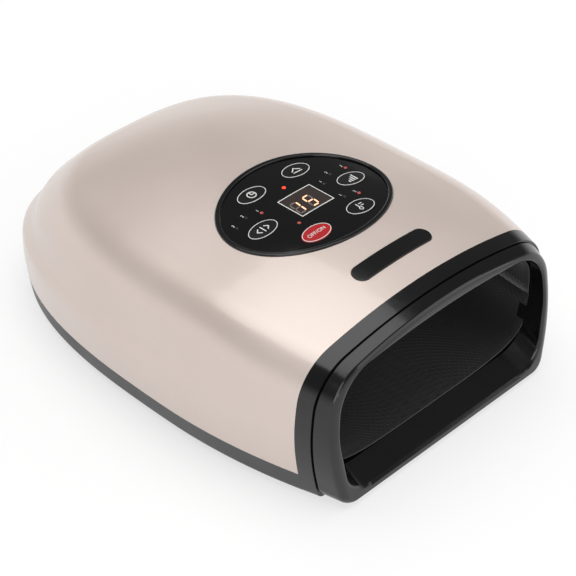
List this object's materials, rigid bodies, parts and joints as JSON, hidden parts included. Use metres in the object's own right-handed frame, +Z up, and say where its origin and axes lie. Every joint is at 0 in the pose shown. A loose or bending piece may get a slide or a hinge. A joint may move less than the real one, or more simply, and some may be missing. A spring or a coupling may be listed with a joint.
{
  "type": "hand massager",
  "caption": "Domed hand massager with an arched front opening lined in fabric, an oval key panel with a digit display on top, and a dark skirt.",
  "frame": {"origin": "middle of the whole case in plan, on the surface that it stands on", "axes": "+Z up, the hand opening faces -Y, X across"},
  "size_m": [0.189, 0.2636, 0.0926],
  "materials": {
    "shell": "satin",
    "skirt": "matte",
    "gloss_black": "gloss",
    "rim": "gloss",
    "smoke_glass": "gloss",
    "dark_plastic": "matte",
    "key_black": "gloss",
    "key_red": "gloss",
    "switch_steel": "satin",
    "lamp": "gloss",
    "board": "satin",
    "screw_steel": "satin",
    "inner_plastic": "matte",
    "pad_plastic": "satin",
    "airbag": "satin",
    "liner": "woven",
    "film": "satin",
    "motor_steel": "satin",
    "rubber": "matte",
    "hose": "satin",
    "cable": "satin"
  },
  "bodies": {
    "case": {"air_manifold": "inner_plastic", "airbag_fitting": "inner_plastic", "badge_plate": "gloss_black", "board_chips": "dark_plastic", "bottom_cover": "skirt", "cable_control": "cable", "cable_power": "cable", "case_screws": "screw_steel", "chassis_screws": "screw_steel", "control_board": "board", "control_board_screws": "screw_steel", "dc_inlet": "dark_plastic", "display_module": "dark_plastic", "display_window": "smoke_glass", "front_frame": "gloss_black", "heating_film": "film", "hose_airbag": "hose", "hose_pump": "hose", "indicator_lamps": "lamp", "light_pipes": "lamp", "liner_sleeve": "liner", "liner_throat": "liner", "lower_massage_plate": "inner_plastic", "mouth_bezel": "gloss_black", "panel_frame": "rim", "panel_lens": "gloss_black", "power_board": "board", "power_board_screws": "screw_steel", "pump_bracket": "dark_plastic", "pump_grommets": "rubber", "pump_head": "inner_plastic", "pump_motor": "motor_steel", "rubber_feet": "rubber", "tact_switches": "switch_steel", "thermal_cutout": "switch_steel", "top_cover": "shell", "upper_airbag": "airbag", "upper_chassis": "inner_plastic", "valve_inflate": "dark_plastic", "valve_spring_inflate": "switch_steel", "valve_spring_vent": "switch_steel", "valve_vent": "dark_plastic"},
    "key_heat_body": {"key_heat": "key_black", "plunger_heat": "pad_plastic"},
    "key_mode_body": {"key_mode": "key_black", "plunger_mode": "pad_plastic"},
    "key_power_body": {"key_power": "key_red", "plunger_power": "pad_plastic"},
    "key_pressure_body": {"key_pressure": "key_black", "plunger_pressure": "pad_plastic"},
    "key_release_body": {"key_release": "key_black", "plunger_release": "pad_plastic"},
    "key_timer_body": {"key_timer": "key_black", "plunger_timer": "pad_plastic"},
    "pump_rotor_body": {"pump_rotor": "motor_steel"},
    "valve_core_inflate_body": {"valve_core_inflate": "motor_steel"},
    "valve_core_vent_body": {"valve_core_vent": "motor_steel"},
    "massage_pad_body": {"upper_massage_pad": "pad_plastic", "liner_roof": "liner"}
  },
  "joints": [
    {"name": "key_heat_press", "type": "slide", "parent": "case", "child": "key_heat_body", "axis": [0, 0, -1], "range_m": [0, 0.0005], "stiffness_N_per_m": 3000},
    {"name": "key_mode_press", "type": "slide", "parent": "case", "child": "key_mode_body", "axis": [0, 0, -1], "range_m": [0, 0.0005], "stiffness_N_per_m": 3000},
    {"name": "key_power_press", "type": "slide", "parent": "case", "child": "key_power_body", "axis": [0, 0, -1], "range_m": [0, 0.0005], "stiffness_N_per_m": 3000},
    {"name": "key_pressure_press", "type": "slide", "parent": "case", "child": "key_pressure_body", "axis": [0, 0, -1], "range_m": [0, 0.0005], "stiffness_N_per_m": 3000},
    {"name": "key_release_press", "type": "slide", "parent": "case", "child": "key_release_body", "axis": [0, 0, -1], "range_m": [0, 0.0005], "stiffness_N_per_m": 3000},
    {"name": "key_timer_press", "type": "slide", "parent": "case", "child": "key_timer_body", "axis": [0, 0, -1], "range_m": [0, 0.0005], "stiffness_N_per_m": 3000},
    {"name": "pump_rotor_spin", "type": "hinge", "parent": "case", "child": "pump_rotor_body", "pos_m": [0, 0.09692, 0.022], "axis": [1, 0, 0], "continuous": true},
    {"name": "valve_core_inflate_slide", "type": "slide", "parent": "case", "child": "valve_core_inflate_body", "axis": [0, 0, 1], "range_m": [0, 0.0012], "stiffness_N_per_m": 600, "deforming": ["valve_spring_inflate"]},
    {"name": "valve_core_vent_slide", "type": "slide", "parent": "case", "child": "valve_core_vent_body", "axis": [0, 0, 1], "range_m": [0, 0.0012], "stiffness_N_per_m": 600, "deforming": ["valve_spring_vent"]},
    {"name": "massage_pad_slide", "type": "slide", "parent": "case", "child": "massage_pad_body", "axis": [0, 0, -1], "range_m": [0, 0.01], "deforming": ["upper_airbag"]}
  ]
}
